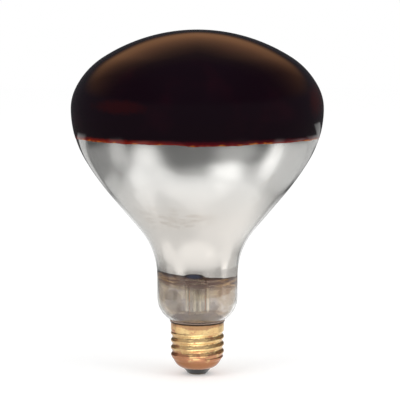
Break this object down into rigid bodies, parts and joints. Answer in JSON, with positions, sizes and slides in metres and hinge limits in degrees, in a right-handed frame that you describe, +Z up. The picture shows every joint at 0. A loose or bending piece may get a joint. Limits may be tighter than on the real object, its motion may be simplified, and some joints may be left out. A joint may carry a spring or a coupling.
{
  "type": "infrared heat lamp",
  "caption": "Infrared reflector heat lamp: blown bulb with a ruby face and silvered bowl, glass stem with filament inside, on a brass screw base.",
  "frame": {"origin": "tip of the centre contact, on the lamp's axis", "axes": "+Z up along the lamp's axis from the contact to the crown, -Y towards the viewer of the picture"},
  "size_m": [0.123, 0.123, 0.1694],
  "materials": {
    "bulb_glass": "clear gloss",
    "ruby_coat": "dark ruby gloss",
    "silver_film": "silvered, slightly hazy",
    "stem_glass": "clear gloss",
    "copper": "bright copper wire",
    "nickel": "satin nickel",
    "molybdenum": "drawn wire",
    "tungsten": "drawn wire",
    "deflector_metal": "satin",
    "cement": "baked resin cement, dark and matt",
    "brass": "rolled sheet with light tarnish",
    "black_glass": "opaque black glass, gloss",
    "solder": "dull solder"
  },
  "bodies": {
    "root": {"bulb_glass": "bulb_glass", "ruby_coating": "ruby_coat", "reflector_film": "silver_film", "stem_flare": "stem_glass", "stem_press": "stem_glass", "exhaust_tube": "stem_glass", "support_cane": "stem_glass", "cane_button": "stem_glass", "seal_wire_left": "copper", "seal_wire_right": "copper", "inner_lead_left": "nickel", "inner_lead_right": "nickel", "support_hook_1": "molybdenum", "support_hook_2": "molybdenum", "support_hook_3": "molybdenum", "support_hook_4": "molybdenum", "support_hook_5": "molybdenum", "filament": "tungsten", "heat_deflector": "deflector_metal", "deflector_eyelet": "nickel", "contact_lead": "copper", "side_lead": "copper", "base_cement": "cement", "screw_shell": "brass", "base_insulator": "black_glass", "contact_eyelet": "brass", "contact_solder": "solder", "side_solder": "solder"}
  },
  "joints": []
}
